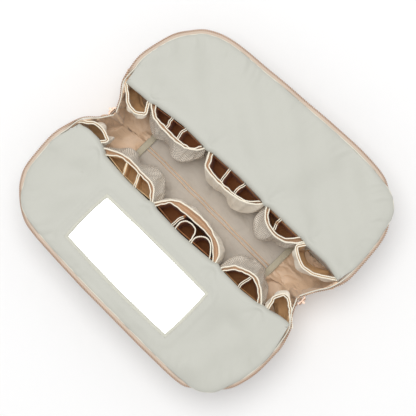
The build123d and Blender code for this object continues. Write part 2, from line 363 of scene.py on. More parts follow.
def hard(name, colour, metallic=0.0, rough=0.3, grain=0.1):
    """Moulded plastic or enamelled metal, with a faint mottle in colour and polish."""
    material, tree, inputs = new_material(name, Metallic=metallic)
    mottle = noise(tree, tree.nodes.new("ShaderNodeTexCoord").outputs["Object"], Scale=420.0, Detail=4.0)
    tree.links.new(mottled(tree, mottle, 0.3, 0.7, colour, 1 - grain), inputs["Base Color"])
    tree.links.new(scaled(tree, mottle, 0.15, rough - 0.07), inputs["Roughness"])
    return material


def looking_glass(name):
    """Silvered glass with faint smears."""
    material, tree, inputs = new_material(name, Metallic=1.0)
    smear = noise(tree, tree.nodes.new("ShaderNodeTexCoord").outputs["Object"], Scale=60.0, Detail=3.0)
    tree.links.new(ramp(tree, smear, 0.4, 0.8, (0.97, 0.975, 0.97), (1, 1, 1)), inputs["Base Color"])
    tree.links.new(math_node(tree, "MULTIPLY", smear, 0.03), inputs["Roughness"])
    return material


M = {
    "flap_lining": fabric("flap_lining_satin", (186, 186, 177), shade=0.97, rough=0.42, sheen=0.2,
                          creases=0.3, crease_size=18.0),
    "floor_lining": fabric("inner_lining_satin", (192, 182, 169), shade=0.88, rough=0.45, creases=0.8,
                           crease_size=14.0, depth=2.0),
    "gusset": fabric("gusset_satin", (226, 195, 164), shade=0.78, rough=0.34, sheen=0.3, creases=0.95,
                     crease_size=13.0, depth=2.6),
    "cover": fabric("cover_cloth", (214, 203, 192), shade=0.93, pitch=0.7, weave=0.6, creases=0.12),
    "zip_tape": fabric("zip_tape", (205, 187, 170), shade=0.9, pitch=0.5, rough=0.75, weave=0.7,
                       creases=0.05),
    "coil": hard("zip_coil", (174, 136, 108), rough=0.4),
    "edge": fabric("elastic_binding", (246, 238, 220), shade=0.95, pitch=0.6, rough=0.7, weave=0.8,
                   creases=0.1),
    "hem": fabric("mirror_hem_satin", (202, 201, 188), shade=0.93, pitch=0.8, rough=0.5, weave=0.6,
                  crease_size=4.0),
    # The lining's turned-in edge: the lining cloth coloured lighter, a painted highlight.
    "lip": fabric("lining_lip_painted_highlight", (222, 218, 204), shade=0.95, pitch=0.6, rough=0.6, weave=0.8,
                  creases=0.1),
    # Darker and browner than the pocket cloth: painted shade in the groove that it fills.
    "web": fabric("pocket_web_shade_cloth", (206, 174, 142), shade=0.85, rough=0.6, creases=0.5),
    # Inside of the end pockets: their cloth darkened and browned with painted shade.
    "end_pocket_inside_shade": fabric("end_pocket_shaded_inside_cloth", (202, 160, 114), shade=0.88, rough=0.7),
    "pocket": fabric("pocket_cloth", (236, 226, 210), shade=0.94, rough=0.5),
    "net": net("pocket_mesh", (223, 214, 201)),
    "seam_tape": fabric("seam_tape", (196, 188, 166), shade=0.88, pitch=0.9, weave=0.9, creases=0.1),
    "metal": hard("zip_metal", (216, 186, 164), metallic=0.2, rough=0.3, grain=0.05),
    "mirror": looking_glass("mirror"),
    "foam": fabric("foam", (226, 222, 208), rough=0.9, sheen=0.0, crease_size=2.0),
}
# The slots' colours carry painted shade: their cloth darkened and browned as deep inside them, less so in the
# two lighter ones.
SLOT_SHADE_COLOURS = {"slot": (180, 120, 74), "lightly_shaded_slot": (202, 150, 100), "faintly_shaded_slot": (248, 212, 166)}
for key, colour in SLOT_SHADE_COLOURS.items():
    M[key] = fabric(f"{key}_cloth", colour, shade=0.85, sheen=0.1)


# ---- outlines of the two sides
# Free edge of each flap, over the zip coil, from the left end of the fold to the right one. The case is soft,
# so its corners aren't all alike.
FLAP_EDGE = {
    "back": [(-123, 36), (-124, 51), (-118, 77), (-110, 91), (-99, 102), (-79, 110), (-40, 114), (2, 117),
             (52, 120), (84, 118), (102, 111), (113, 100), (121, 80), (124, 51), (124, 36)],
    "front": [(-127, -36), (-129, -51), (-127, -79), (-121, -93), (-112, -104), (-99, -112), (-80, -116),
              (-40, -118), (2, -118.5), (50, -118.5), (86, -117), (100, -112), (110, -104), (117, -94),
              (122, -82), (125, -66), (125, -46), (124, -36)],
}
# From a flap's ends down the zip to the notch in the middle of each end: x, y and height.
NOTCH_PATH = {
    "back": ([(-105.5, 0.9, 45.5), (-111, 12, 46.5), (-119, 23, 47.6)],
             [(119, 24, 47.6), (111.5, 12, 46.5), (106, 1.0, 45.5)]),
    "front": ([(-105.5, -0.9, 45.5), (-112, -11, 46.3), (-121, -21, 47.3)],
              [(119, -23, 47.6), (111.5, -13, 46.5), (106, -1.0, 45.5)]),
}
# Where the lining turns over the wall's top edge: x along the case, and the distance from the centre plane.
FOLD_LINE = {
    "back": ([-124, -112, -100, -91, -87, -59, -36, -31, -26, 2, 28, 33, 38, 76, 80, 100, 113, 124],
             [25, 26, 27.5, 28, 30, 34.2, 34.2, 33.2, 35.3, 37, 36.5, 34.5, 36.6, 37, 36, 36.8, 35, 33]),
    "front": ([-124, -112, -100, -92, -86, -60, -36, -31, -26, 2, 22, 37, 41, 46, 70, 86, 90, 98, 113, 124],
              [27, 25.5, 25.5, 28, 31.5, 33.3, 32.6, 30.8, 32.6, 33.4, 32, 30.5, 28.6, 30.2, 30.5, 28.6,
               26.6, 25.5, 21, 21]),
}
# Where the layers' edges meet the fold at the left and right ends.
CORNERS = {"back": ((-120, 25.5), (121, 33)), "front": ((-123, -27), (119, -21.5))}
# The zip is tucked under the lining at some of the flaps' corners: middle of each such place, its reach, and
# how much of the zip is hidden there.
TUCK = {"back": [((106, 106), 17, 1.0)], "front": [((108, -108), 15, 1.0), ((-107, -105), 13, 0.42)]}
# The cloth is tacked down between the pockets, and creases start there.
TACKS = {"back": (-91, -31, 33, 80), "front": (-92, -31, 41, 90)}
HINGE_Z = 48.0
FLAP_TOP = 50.0
WALL_HALF = 117.0        # half the length of a wall, whose lower corners are round
WALL_CORNER = 42.0
WALL_FOOT = 35.6
TAPE_EDGE = 4.0          # from the coil's outer edge to the lining's edge
TAPE_HIDDEN = TAPE_EDGE - 0.8
MIRROR_X = (-60.7, 50.8)
MIRROR_Y = (-97.0, -51.6)
COLUMNS = 220            # points along each layer of a side
FLAP_ROWS = 33           # rows of points from the fold to the flap's edge
COIL_PITCH = 1.7


def tucked(side, x, y):
    """1 where the zip is hidden under the lining's edge, 0 where it shows."""
    places = TUCK[side]
    return sum(share * np.exp(-((np.hypot(x - cx, y - cy) / far) ** 3)) for (cx, cy), far, share in places)


def right_end(x):
    """1 beyond the flaps' right corners, where less of the zip's tape shows."""
    return step(x, 104, 118)


def edge_curve(side, inset, further=0.0):
    """The edge of a flap's layers, moved in by inset, as x and y. Further is more inset, that fades out at
    the two ends of the fold. The tape's width is left off where the zip is tucked."""
    left, right = CORNERS[side]
    curve = resample([left, *FLAP_EDGE[side][1:-1], right], 500)
    tangent = unit(np.gradient(curve, axis=0))
    inward = np.stack([tangent[:, 1], -tangent[:, 0]], axis=1) * SIDE[side]
    share = np.linspace(0, 1, 500)
    inset = inset - TAPE_HIDDEN * tucked(side, *curve.T) - right_end(curve[:, 0])
    inset = inset + further * step(np.minimum(share, 1 - share), 0, 0.09)
    return resample(curve + inward * inset[:, None], COLUMNS, smooth=False)


def fold_y(side, x):
    return np.interp(x, *FOLD_LINE[side])


def wall_half(z):
    """Half the length of a wall at a height."""
    drop = np.clip(WALL_CORNER - z, 0, WALL_CORNER)
    return WALL_HALF - WALL_CORNER + np.sqrt(np.maximum(WALL_CORNER**2 - drop**2, 0))


def wall_face(z, near_wall, fold):
    """Distance of a wall layer from the centre plane, leaning from the base to the fold."""
    lean = step(z, 5, HINGE_Z)
    return (WALL_FOOT - near_wall) * (1 - lean) + (fold - near_wall) * lean


def window_distance(x, y):
    """Distance outside the mirror's window, negative inside."""
    dx = np.maximum(MIRROR_X[0] - x, x - MIRROR_X[1])
    dy = np.maximum(MIRROR_Y[0] - y, y - MIRROR_Y[1])
    outside = np.hypot(np.maximum(dx, 0), np.maximum(dy, 0))
    return np.where((dx < 0) & (dy < 0), np.maximum(dx, dy), outside)


def flap_sag(side, x, y):
    """How far a flap stands off its flat plane."""
    s = SIDE[side]
    far = np.clip((np.abs(y) - 36) / 82, 0, 1)
    z = 1.8 * lumps(x, y, 3 + s, 70) + 0.7 * lumps(x, y, 9 + s, 34)
    if side == "front":
        # the board behind the mirror keeps the flap flat there
        z = z * step(window_distance(x, y), 8, 30)
    hanging_corner = step(-x, 40, 125) * far * (5.0 if side == "back" else 1.0)
    return z * step(far, 0.0, 0.25) - hanging_corner


def level_row(x, y, z):
    return np.column_stack([x, y, np.full(len(x), float(z))])


def side_grid(side, inset, height, near_wall, edge_rings, low=3.0, narrow=0.0):
    """A layer of one side of the case: up the wall, over the fold and out to the flap's edge.
    height is above the flap's middle, near_wall the layer's distance in from the hinge plane. An edge ring
    has its further inset and its height. narrow is left off at both ends of the wall."""
    s = SIDE[side]
    edge = edge_curve(side, inset)
    t = np.linspace(0, 1, COLUMNS)
    x_fold = np.interp(t, [0, 1], [edge[0, 0], edge[-1, 0]])
    y_fold = fold_y(side, x_fold)
    y_fold += (abs(edge[0, 1]) - y_fold[0]) * (1 - step(t, 0, 0.05))
    y_fold += (abs(edge[-1, 1]) - y_fold[-1]) * step(t, 0.95, 1)
    rows = []
    for z in np.linspace(low, HINGE_Z - 4, 12):
        x = x_fold / abs(x_fold[0]) * (wall_half(z) - narrow)
        rows.append(level_row(x, s * wall_face(z, near_wall, y_fold), z))
    radius = 2.0 + height if height > 0 else 1.5
    for a in np.linspace(0.2, 1.0, 5) * math.pi / 2:
        y = y_fold - near_wall + radius * (1 - math.cos(a))
        rows.append(level_row(x_fold, s * y, HINGE_Z + height - radius * (1 - math.sin(a))))
    start, inner = rows[-1][:, :2], edge_curve(side, inset, 9)
    for r in np.linspace(0, 1, FLAP_ROWS + 1)[1:]:
        rows.append(level_row(*(start * (1 - r) + inner * r).T, HINGE_Z + height))
    for further, z in edge_rings:
        rows.append(level_row(*edge_curve(side, inset, further).T, HINGE_Z + z))
    grid = np.array(rows)
    along = t * 430
    ripple = 0.5 * waves(along, 21 + s, 13) + 0.3 * waves(along, 31 + s, 6)
    x, y = grid[..., 0], grid[..., 1]
    out = np.abs(y) - fold_y(side, x)
    on_flap = step(out, 1, 10)
    count, flat = len(rows), len(rows) - len(edge_rings)
    near_edge = step(np.arange(count), flat - 8, count - 3)[:, None]
    relief = on_flap * (flap_sag(side, x, y) + 0.5 * near_edge * ripple)
    # creases that run out over the flap from the tacks
    for tack in TACKS[side]:
        for lean, deep in ((-0.55, 0.7), (0.15, 1.1), (0.8, 0.6)):
            spread = (x - tack - lean * out) / (1.3 + 0.16 * np.clip(out, 0, 40))
            relief -= deep * np.exp(-spread**2) * step(22 - out, 0, 20) * step(out, 0, 4)
    first = flat - FLAP_ROWS
    grid[first:, :, 2] += relief[first:]
    return grid


# ---- layers of the two sides
def in_window(value, span):
    """-1 and 1 at the window's two edges."""
    return np.clip((value - sum(span) / 2) / (span[1] - span[0]) * 2, -1.2, 1.2)


def bowed(x, y):
    """The window's edges belly out a little between its corners; the cloth round it moves with them."""
    u, v = in_window(x, MIRROR_X), in_window(y, MIRROR_Y)
    near = step(14 - window_distance(x, y), 0, 14)
    out_x = np.where(u > 0, 0.9, -1.0) * np.abs(u) ** 3 * (1 - v * v)
    out_y = np.where(v > 0, 0.5, -1.4) * np.abs(v) ** 3 * (1 - u * u) + 0.7 * u * (v > 0) * np.abs(v)
    return x + near * out_x, y + near * out_y


def cut_window(obj):
    bm = bmesh.new()
    bm.from_mesh(obj.data)
    for axis, values in ((0, MIRROR_X), (1, MIRROR_Y)):
        for value in values:
            normal, at = Vector((0, 0, 0)), Vector((0, 0, 0))
            normal[axis], at[axis] = 1, value * MM
            geometry = bm.verts[:] + bm.edges[:] + bm.faces[:]
            bmesh.ops.bisect_plane(bm, geom=geometry, plane_co=at, plane_no=normal, dist=1e-7)
    gone = []
    for face in bm.faces:
        x, y, _ = face.calc_center_median() / MM
        if MIRROR_X[0] < x < MIRROR_X[1] and MIRROR_Y[0] < y < MIRROR_Y[1]:
            gone.append(face)
    bmesh.ops.delete(bm, geom=gone, context="FACES")
    for vert in bm.verts:
        x, y, z = vert.co / MM
        if window_distance(x, y) < 14 and z > HINGE_Z - 1:
            x, y = bowed(x, y)
            vert.co.x, vert.co.y = float(x) * MM, float(y) * MM
    bm.to_mesh(obj.data)
    bm.free()


def declare_layer(obj, side, slot, *replaced):
    """Hides the CAD nodes that a layer stands for and bakes its placement into its points. On the case the
    wall stays and the flap turns.
    """
    if replaced:
        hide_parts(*replaced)
    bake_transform(obj)


def build_lining_and_cover(side):
    rings = ((6, 2.0), (3.5, 1.95), (1.6, 1.7), (0.5, 1.1), (0.0, 0.3))
    grid = side_grid(side, TAPE_EDGE, 2.0, 2.0, rings)
    if side == "front":
        # flat on the board behind the mirror, with a low ridge where the board ends and a fine dimpling
        x, y, z = np.moveaxis(grid, 2, 0)
        d = window_distance(x, y)
        near = step(13 - d, 0, 5)
        level = FLAP_TOP + 0.6 * np.exp(-(((d - 8.6) / 2.0) ** 2)) + 0.18 * np.sin(x * 1.1) * np.sin(y * 1.1)
        grid[..., 2] = np.where(np.abs(y) > 40, z * (1 - near) + level * near, z)
    lining = sheet_object(f"{side}_lining", grid, [M["flap_lining"]])
    if side == "front":
        cut_window(lining)
    thicken(lining, 0.5)
    # the cover meets the lining at both ends of the wall
    rings = ((6, -2.0), (3.5, -1.95), (1.6, -1.7), (0.5, -1.1), (0.0, -0.5))
    under = side_grid(side, TAPE_EDGE, -2.0, -2.0, rings, low=0.4)
    under = np.concatenate([grid[:, :1], under, grid[:, -1:]], axis=1)
    cover = sheet_object(f"{side}_cover", under, [M["cover"]])
    thicken(cover, 0.6)
    for piece, kind, slot in ((lining, "lining", "flap_lining_satin"), (cover, "cover", "cover_cloth")):
        declare_layer(piece, side, slot, f"{side}_flap_{kind}", f"{side}_wall_{kind}")


def build_pad(side):
    """Foam between lining and cover, closed all round."""
    top = side_grid(side, TAPE_EDGE + 1.5, 1.0, 1.3, ((6, 1.0), (3, 0.8), (0.6, 0.3)), narrow=1.5)
    under = side_grid(side, TAPE_EDGE + 1.5, -1.3, -1.3, ((6, -1.3), (3, -1.2), (0.6, -0.8)), narrow=1.5)
    rows, cols = top.shape[:2]
    count = rows * cols
    faces = grid_faces(rows, cols)
    faces += [tuple(count + v for v in reversed(f)) for f in faces]
    numbers = np.arange(count).reshape(rows, cols)
    rim = np.concatenate([numbers[0], numbers[1:, -1], numbers[-1, -2::-1], numbers[-2:0:-1, 0]]).tolist()
    faces += [(a, count + a, count + b, b) for a, b in zip(rim, rim[1:] + rim[:1])]
    points = np.vstack([top.reshape(-1, 3), under.reshape(-1, 3)])
    cloth = np.vstack([grid_cloth(top), grid_cloth(under)])
    pad = make_object(f"{side}_pad", points, faces, cloth, [M["foam"]])
    if side == "front":
        # pressed down under the mirror's plate
        for vert in pad.data.vertices:
            x, y, z = np.array(vert.co, float) / MM
            if window_distance(x, y) < 4 and z > HINGE_Z:
                vert.co.z = (HINGE_Z - 0.2) * MM
    declare_layer(pad, side, "foam", f"{side}_flap_foam", f"{side}_wall_foam")


def build_zip(side):
    """The open zip, from notch to notch round the flap, and the lining's bright edge beside it, whose
    brightness is a painted highlight.
    """
    left, right = NOTCH_PATH[side]
    count = 900
    sewn = resample(left + [(x, y, HINGE_Z) for x, y in FLAP_EDGE[side]] + right, count)
    x, y = sewn[:, 0], sewn[:, 1]
    sewn[:, 2] += step(np.abs(y), 37, 60) * flap_sag(side, x, y) * 0.9
    level, _ = frames(sewn * (1, 1, 0))
    if level[count // 2, 1] * SIDE[side] < 0:
        level = -level
    hidden = tucked(side, x, y)[:, None]
    path = sewn - 3.0 * hidden * level - hidden * (0, 0, 1.5)
    x, y = path[:, :1], path[:, 1:2]
    # flat round the flap, and on its edge in the notch
    turn = (1 - step(np.abs(y), 20, 42)) * math.radians(84)
    outward = level * np.cos(turn) + np.sin(turn) * (0, 0, 1)
    profile = ((-5.0, 0.45), (-3.5, 0.5), (-1.4, 0.3), (-0.7, 0.1), (-0.7, -0.3), (-1.4, -0.2), (-3.5, -0.2),
               (-5.0, -0.2))
    rings = np.stack([path + outward * out + (0, 0, high) for out, high in profile], axis=1)
    tape = tubes_object(f"{side}_tape", [rings], M["zip_tape"])
    declare_layer(tape, side, "zip_tape", f"{side}_zip_tape")

    per_turn = 10
    points = int(length_of(path) / COIL_PITCH) * per_turn
    centre = resample(path, points, smooth=False)
    out = unit(resample(np.column_stack([path, outward]), points, smooth=False)[:, 3:])
    above = unit(np.cross(np.gradient(centre, axis=0), out))
    a = (np.arange(points) * TAU / per_turn)[:, None]
    helix = centre + out * (-0.95 + 0.72 * np.cos(a)) + above * (0.62 * np.sin(a))
    coil = tubes_object(f"{side}_coil", [tube_grid(helix, 0.36, 0.36, sides=6)], M["coil"])
    declare_layer(coil, side, "zip_coil", f"{side}_zip_coil")

    # where the lining is turned in and stitched to the tape; its lighter colour is a painted highlight
    notch = 1 - step(np.abs(y), 20, 38)
    inset = TAPE_EDGE + 0.2 - TAPE_HIDDEN * hidden - right_end(x)
    lip = resample(sewn - level * (inset * (1 - notch) + 0.9 * notch) + (0, 0, 0.75), 700, smooth=False)
    stitches = 1 + 0.18 * np.sin(np.arange(len(lip)) * 2.1)
    seam = tubes_object(f"{side}_edge_seam", [tube_grid(lip, 0.48, 0.45, stitches)], M["lip"])
    declare_layer(seam, side, "elastic_binding")


for side in SIDE:
    build_lining_and_cover(side)
    build_pad(side)
    build_zip(side)


# ---- mirror
def pushed(value, span, out):
    """Moves the points that lie on the window's edge outwards."""
    on_edge = (np.abs(value - span[0]) < 0.01) | (np.abs(value - span[1]) < 0.01)
    return value + out * on_edge * np.sign(value - sum(span) / 2)


def use_material(obj, material):
    obj.data.materials.clear()
    obj.data.materials.append(material)


use_material(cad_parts["mirror"], M["mirror"])
corners = [(MIRROR_X[i], MIRROR_Y[j]) for i, j in ((0, 0), (1, 0), (1, 1), (0, 1), (0, 0))]
window = np.vstack([np.linspace(p, q, 80)[:-1] for p, q in zip(corners, corners[1:])])
# the hem: turned down to the glass inside, 2.5 mm wide, puckered by its stitches
hem = []
for out, high, pucker in ((-0.4, -0.7, 0), (-0.3, 0.15, 0.3), (0.3, 0.55, 0.6), (1.2, 0.5, 1.0),
                          (2.0, 0.35, 0.6), (2.2, 0.0, 0)):
    x, y = bowed(pushed(window[:, 0], MIRROR_X, out), pushed(window[:, 1], MIRROR_Y, out))
    wave = pucker * 0.22 * np.sin(np.arange(len(window)) * 1.57 + 0.4 * out)
    hem.append(np.column_stack([x, y, FLAP_TOP + high + wave]))
trim = sheet_object("mirror_hem", np.array(hem), [M["hem"]], 0.3, wrap=True, offset=0.0)
declare(trim, ["mirror_trim"], "front_flap")

# ---- floor
FLOOR = 3.9
FLOOR_END = 74.0         # half the floor's length and width, between its seams
FLOOR_HALF = 32.5

X, Y = np.meshgrid(np.linspace(-75.5, 75.5, 150), np.linspace(-FLOOR_HALF, FLOOR_HALF, 70))
loose = step(75 - np.abs(X), 0, 10)
Z = FLOOR - 0.4 + (0.35 * lumps(X, Y, 41, 30) + 0.2 * lumps(X * 0.5, Y, 43, 9)) * loose
Z -= 0.5 * np.exp(-(Y / 3.5) ** 2)
floor_cloth = sheet_object("floor_lining", np.stack([X, Y, Z], axis=2), [M["floor_lining"]], 0.4)
declare(floor_cloth, ["base_lining"])

ridges = []
for y, seed in ((-1.5, 50), (1.5, 52)):
    line = np.linspace(-71, 71, 300)
    ridge = level_row(line, y + 0.25 * waves(line, seed, 22), FLOOR - 0.1)
    ridges.append(tube_grid(ridge, 0.55, 0.5, 1 + 0.1 * np.sin(line * 4)))
piping = tubes_object("floor_piping", ridges, M["gusset"])
declare(piping, ["centre_seam"])

# ---- ends
GUSSET_ROWS, GUSSET_COLS = 60, 90
A, B = np.meshgrid(np.linspace(-1, 1, GUSSET_COLS), np.linspace(0, 1, GUSSET_ROWS))
# None of the folds reaches the gusset's sewn edges.
HOLD = np.sin(np.clip(B, 0, 1) * math.pi) ** 0.7 * (1 - np.abs(A) ** 6)
GROUND = 1.6
SOFT_GROUND = 1.1        # over this height low folds flatten out


def gusset_grid(end):
    """From the floor's end, b = 0, out and up to the zip, b = 1; a runs from the front to the back."""
    top = {}
    for side in SIDE:
        left, right = NOTCH_PATH[side]
        notch = left if end < 0 else right[::-1]
        top[side] = resample(notch + [(end * 123.5, SIDE[side] * 34, HINGE_Z)], 50)
    grid = np.zeros((GUSSET_ROWS, GUSSET_COLS, 3))
    for j, a in enumerate(A[0]):
        zip_line = top["back" if a >= 0 else "front"]
        tx, ty, tz = (np.interp(abs(a) * 49, np.arange(50), zip_line[:, i]) for i in range(3))
        tx -= end * 0.5
        foot = Vector((end * FLOOR_END, a * FLOOR_HALF, FLOOR))
        w = abs(a) ** 3
        for i, b in enumerate(B[:, 0]):
            bulge = math.sin(b * math.pi)
            x = foot.x + (tx - foot.x) * (b + 0.24 * bulge)
            y = foot.y + (ty - foot.y) * b
            z = foot.z + (tz - 0.4 - foot.z) * (b - 0.2 * bulge)
            # towards the walls the gusset follows their rounded ends
            z_wall = 2.5 + (tz - 2.9) * max(0.0, (b - 0.12) / 0.88)
            x_wall = wall_half(z_wall) - (1 - min(b / 0.12, 1)) * (wall_half(2.5) - FLOOR_END)
            x_wall += (abs(tx) - WALL_HALF) * step(b, 0.75, 1)
            wall = (end * x_wall, math.copysign(33.0, a), z_wall)
            grid[i, j] = [p * (1 - w) + q * w for p, q in zip((x, y, z), wall)]
    return grid


def build_gusset(name, end):
    """Returns the gusset's surface, for the end pockets to rest against."""
    grid = gusset_grid(end)
    angle = np.arctan2(A + 0.15 * end, 1.25 - B)
    pleat = np.sin(angle * 8 + 1.5 * lumps(A * 30, B * 30, 62 + end, 30))
    pleat += 0.6 * lumps(A * 34, B * 40, 63 + end, 14)
    grid[..., 0] += end * 1.7 * pleat * HOLD
    grid[..., 2] += 2.6 * pleat * HOLD
    gusset = sheet_object(f"{name}_end_gusset", grid, [M["gusset"]])
    settle(gusset, grid.shape[:2], grow=0.2, gravity=0.05, most=5.5, bending=0.06)
    # sharp folds that run from the notch to the floor, where the cloth has more length than it needs
    crease = 1 - 2 * np.abs(np.sin(angle * 4.5 + 1.6 * lumps(A * 30, B * 30, 72 + end, 34)))
    crease = (4.6 * crease + 2.4 * (1 - 2 * np.abs(lumps(A * 33, B * 42, 75 + end, 26)))) * HOLD
    for vert, d in zip(gusset.data.vertices, crease.ravel()):
        vert.co.x += end * 0.55 * d * MM
        over = (vert.co.z / MM + 0.8 * d - GROUND) / SOFT_GROUND
        vert.co.z = (GROUND + SOFT_GROUND * math.log1p(math.exp(over))) * MM
    bpy.context.view_layer.update()
    surface = BVHTree.FromObject(gusset, bpy.context.evaluated_depsgraph_get())
    thicken(gusset, 0.5)
    declare(gusset, [f"{name}_gusset"])
    return surface


def build_closed_zip(name, end):
    """The zip below the notch, which the slider runs on."""
    heights = np.linspace(29, 45.5, 90)
    turn = heights * TAU / COIL_PITCH
    a = np.linspace(0, TAU, 6, endpoint=False)
    ring = 0.34 * np.column_stack([np.cos(a), np.sin(a), 0 * a])
    chain = []
    for y in (-0.75, 0.75):
        line = np.column_stack([end * 107.6 + 0.55 * np.cos(turn), y + 0.55 * np.sin(turn), heights])
        chain.append(line[:, None] + ring)
    teeth = tubes_object(f"{name}_zip_chain", chain, M["coil"])
    declare(teeth)
    strip = ((107.1, -3.2), (107.1, 3.2), (106.7, 3.2), (106.7, -3.2))
    tape = np.array([[(end * x, y, z) for x, y in strip] for z in np.linspace(28.5, 46, 12)])
    backing = tubes_object(f"{name}_zip_backing", [tape], M["zip_tape"])
    declare(backing, [f"{name}_zip_end"])


gusset_surface = {}
for name, end in END.items():
    # a ribbed tape over the seam between the floor and the gusset
    V, U = np.meshgrid(np.linspace(-31, 31, 120), np.linspace(-2.6, 2.6, 9))
    height = FLOOR + 0.9 - 0.25 * (np.abs(U) > 2.2) + 0.22 * np.sin(V * 2.6) * (np.abs(U) > 1.2)
    ribbed = np.stack([end * 73.2 + U, V, height], axis=2)
    tape = sheet_object(f"{name}_floor_tape", ribbed, [M["seam_tape"]], 0.6)
    declare(tape, [f"{name}_seam_tape"])
    gusset_surface[name] = build_gusset(name, end)
    build_closed_zip(name, end)

# ---- pockets
# Plan points are x and distance from the centre plane, at the height of the bindings. The band runs round the
# slots and a divider from the wall to the band, with one or two lines of binding. The outer line is the mouth
# of the pocket in front of them, and the belly is the pocket's widest place, lower down.
TOP = 46.0
# The key that picks a pocket's slot colour chooses how much painted shade its slots carry.
POCKETS = {
    "back_left": dict(
        band=[(-87.5, 31), (-86, 28.5), (-79.5, 22), (-67, 21.2), (-53, 21.2), (-41, 23.7), (-36, 31)],
        dividers=[((-69.5, 33), (-68.5, 27), (-66.5, 21.5), 2), ((-54.5, 33), (-55.5, 27), (-54.0, 21.5), 2)],
        outer=[(-92.5, 29), (-88, 25), (-79, 19.7), (-64, 18.6), (-49, 19.6), (-39, 24), (-32.5, 32)],
        belly=[(-90, 26), (-80, 15), (-71, 10), (-59, 12.5), (-49, 9.5), (-39, 13.5), (-31, 27)],
        cloth="net", bottom=12),
    "back_middle": dict(
        band=[(-25, 33), (-22, 27), (-18, 22.7), (-4, 21.6), (12, 22.6), (22, 26), (29, 33)],
        dividers=[((-6.5, 34), (-6, 28), (-4.5, 22), 2), ((10.5, 34), (9.5, 28), (9.5, 23), 2)],
        outer=[(-28.5, 33), (-25, 26), (-20, 20.8), (-4, 19.6), (12, 21), (24, 25.5), (33, 34)],
        belly=[(-27, 31), (-20, 19), (-8, 15.5), (7, 15), (22, 18), (31, 25), (33.5, 33)],
        cloth="pocket", bottom=7),
    "back_right": dict(
        band=[(38.5, 34), (41, 30), (46.5, 25.6), (55.5, 23.6), (65, 26.6), (72.5, 35)],
        dividers=[((51, 36), (51, 30), (53, 24.5), 2)],
        outer=[(35.4, 33.5), (39, 29), (44.5, 24), (55.6, 21.5), (68, 25), (78, 35)],
        belly=[(33.5, 30), (35, 21), (40, 15), (48.5, 12.5), (57.5, 17), (70, 22), (77, 33)],
        cloth="net", slot_shade="lightly_shaded_slot", bottom=7),
    "front_left": dict(
        band=[(-88, 32), (-86, 29), (-77, 22), (-69, 20.4), (-56, 20.4), (-42.5, 22), (-33, 31)],
        dividers=[((-64, 33), (-66.5, 27), (-69.5, 21), 1), ((-50, 33), (-53, 27), (-56.5, 20.8), 2)],
        outer=[(-94.4, 28.5), (-87, 24), (-79, 19.9), (-69, 17.8), (-56, 18.2), (-41, 19.6), (-31, 31)],
        belly=[(-93, 27), (-84, 19), (-79, 13), (-71, 10.7), (-64, 13.6), (-54, 9.8), (-43.5, 9.8), (-31, 20),
               (-30, 30)],
        cloth="net", slot_shade="faintly_shaded_slot", bottom=12),
    "front_middle": dict(
        band=[(-30, 32), (-25, 24.5), (-20, 18.8), (-3, 16.8), (17, 15.8), (27.5, 19.7), (38, 30)],
        dividers=[((-7.5, 33), (-7.5, 26), (-5.5, 20), 2)],
        loops=[[(-3.5, 33), (-4.5, 26), (-2, 21), (3, 19.3), (8.5, 20.5), (11, 26), (12, 33)],
               [(15, 33), (12.5, 27), (15, 21.5), (20, 18.6), (26, 20.5), (30.5, 25.5), (34, 31)]],
        outer=[(-32, 31), (-26, 22), (-18, 14), (-3, 10.4), (12, 10.2), (27.4, 14.7), (36, 21), (39.5, 30)],
        belly=[(-33, 30), (-27, 21), (-18, 13), (-3, 9.5), (12, 9.4), (28, 13.5), (38, 20), (41, 30)],
        cloth="pocket", bottom=7),
    "front_right": dict(
        band=[(46, 31), (49, 26), (55, 19.5), (68.5, 14.9), (80.5, 20.6), (86, 28)],
        dividers=[((66.5, 32), (65.5, 25), (67.5, 16), 2)],
        outer=[(43.5, 30), (47, 24), (53, 17.5), (68.5, 12.4), (80.5, 17.7), (90, 27.5)],
        belly=[(42.5, 28), (44, 18), (51, 8), (64.5, 4.2), (77.5, 8), (87, 17.5), (91, 27)],
        cloth="net", slot_shade="lightly_shaded_slot", bottom=7),
}
END_POCKET_MOUTHS = {
    "back_left": [(-120, 25), (-115, 22.5), (-109, 18.5), (-103, 13.3), (-95, 12.2), (-89.5, 15), (-87.5, 18),
                  (-93, 27)],
    "back_right": [(81, 36), (77.5, 31.5), (76, 27.6), (83, 22.6), (90, 20.2), (100, 21.5), (106, 24.6),
                   (118, 33)],
    "front_left": [(-122, 26), (-116, 21), (-110, 17), (-104.5, 16), (-96, 18.5), (-94, 20.5), (-99, 28)],
    "front_right": [(93, 27), (94.5, 23.5), (92, 15), (94, 9), (98, 6), (103, 8), (111, 14.5), (119, 22)],
}


def plan(points, side, z, count=90):
    x, y = resample(points, count).T
    return level_row(x, SIDE[side] * y, z)


def ruffled(path, seed):
    """A path with the small waves of gathered elastic."""
    along = np.linspace(0, length_of(path), len(path))
    side, _ = frames(path)
    out = path + side * (0.21 * waves(along, seed, 6))[:, None]
    out[:, 2] += 0.35 * waves(along, seed + 1, 7)
    return out


def binding_tubes(path, seed, radius, lines=1, gap=0.0):
    """Lines of elastic side by side, each gap from the middle."""
    path = ruffled(resample(path, max(60, int(length_of(path) * 3)), smooth=False), seed)
    side, _ = frames(path)
    along = np.linspace(0, length_of(path), len(path))
    grids = []
    for k in range(lines):
        shift = side * (2 * k - lines + 1) * gap
        grids.append(tube_grid(path + shift, radius, radius * 1.2, 1 + 0.16 * np.sin(along * TAU / 1.5 + k)))
    return grids


